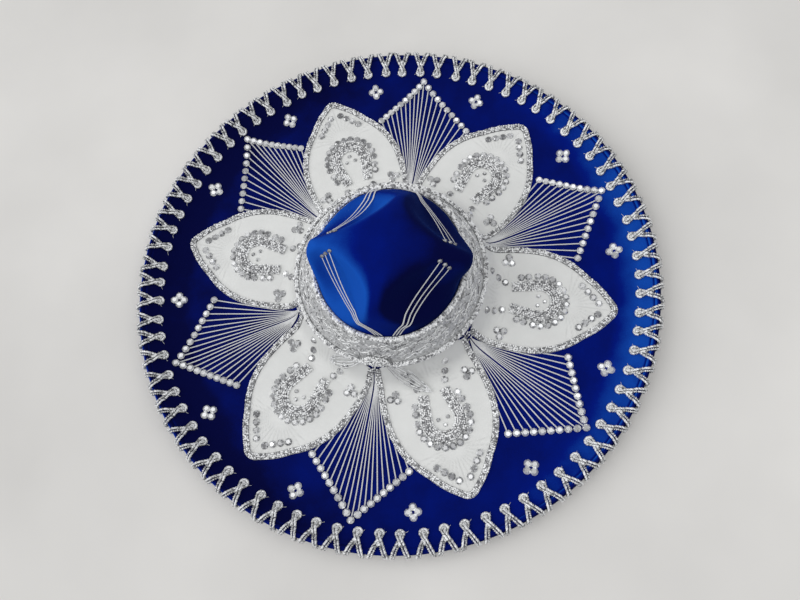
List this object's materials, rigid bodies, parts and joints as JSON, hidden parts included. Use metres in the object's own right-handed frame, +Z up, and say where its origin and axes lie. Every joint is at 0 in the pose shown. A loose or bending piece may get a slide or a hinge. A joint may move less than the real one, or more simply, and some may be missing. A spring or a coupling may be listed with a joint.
{
  "type": "sombrero",
  "caption": "Blue velvet mariachi sombrero with white satin petals, beaded horseshoes, silver thread fans, cut stones and a looped silver cord edge.",
  "frame": {"origin": "on the crown's axis, in the plane of the brim's flat underside that the hat rests on", "axes": "+Z up along the crown's axis, towards the top of the crown; -Y towards the front, where the silver cord is tied; +X towards the right seen from above with the tie at the bottom"},
  "size_m": [0.5646, 0.5648, 0.165],
  "materials": {
    "stiffened_board": "matte",
    "blue_velvet": "velvet pile",
    "steel_wire": "drawn",
    "lining": "satin, colour guessed",
    "sweatband_leather": "smooth, colour guessed",
    "silver_brocade": "woven metallic thread",
    "silver_beads": "small bright beads",
    "silver_cord": "twisted metallic thread",
    "white_satin": "satin",
    "cut_stones": "faceted, foil backed"
  },
  "bodies": {
    "root": {"brim_board": "stiffened_board", "crown_form": "stiffened_board", "brim_velvet_top": "blue_velvet", "brim_velvet_under": "blue_velvet", "crown_velvet": "blue_velvet", "edge_binding": "blue_velvet", "brim_edge_wire": "steel_wire", "crown_lining": "lining", "sweatband": "sweatband_leather", "hat_band": "silver_brocade", "band_cord_upper": "silver_beads", "band_cord_lower": "silver_beads", "tie_knot": "silver_cord", "tie_loop_left": "silver_cord", "tie_loop_right": "silver_cord", "edge_loops": "silver_cord", "crown_threads": "silver_cord", "rosette_stones": "cut_stones", "crown_studs": "cut_stones", "petal_1": "white_satin", "petal_border_1": "silver_beads", "horseshoe_1": "silver_beads", "petal_stones_1": "cut_stones", "thread_fan_1": "silver_cord", "fan_stones_1": "cut_stones", "petal_2": "white_satin", "petal_border_2": "silver_beads", "horseshoe_2": "silver_beads", "petal_stones_2": "cut_stones", "thread_fan_2": "silver_cord", "fan_stones_2": "cut_stones", "petal_3": "white_satin", "petal_border_3": "silver_beads", "horseshoe_3": "silver_beads", "petal_stones_3": "cut_stones", "thread_fan_3": "silver_cord", "fan_stones_3": "cut_stones", "petal_4": "white_satin", "petal_border_4": "silver_beads", "horseshoe_4": "silver_beads", "petal_stones_4": "cut_stones", "thread_fan_4": "silver_cord", "fan_stones_4": "cut_stones", "petal_5": "white_satin", "petal_border_5": "silver_beads", "horseshoe_5": "silver_beads", "petal_stones_5": "cut_stones", "thread_fan_5": "silver_cord", "fan_stones_5": "cut_stones", "petal_6": "white_satin", "petal_border_6": "silver_beads", "horseshoe_6": "silver_beads", "petal_stones_6": "cut_stones", "thread_fan_6": "silver_cord", "fan_stones_6": "cut_stones"}
  },
  "joints": []
}
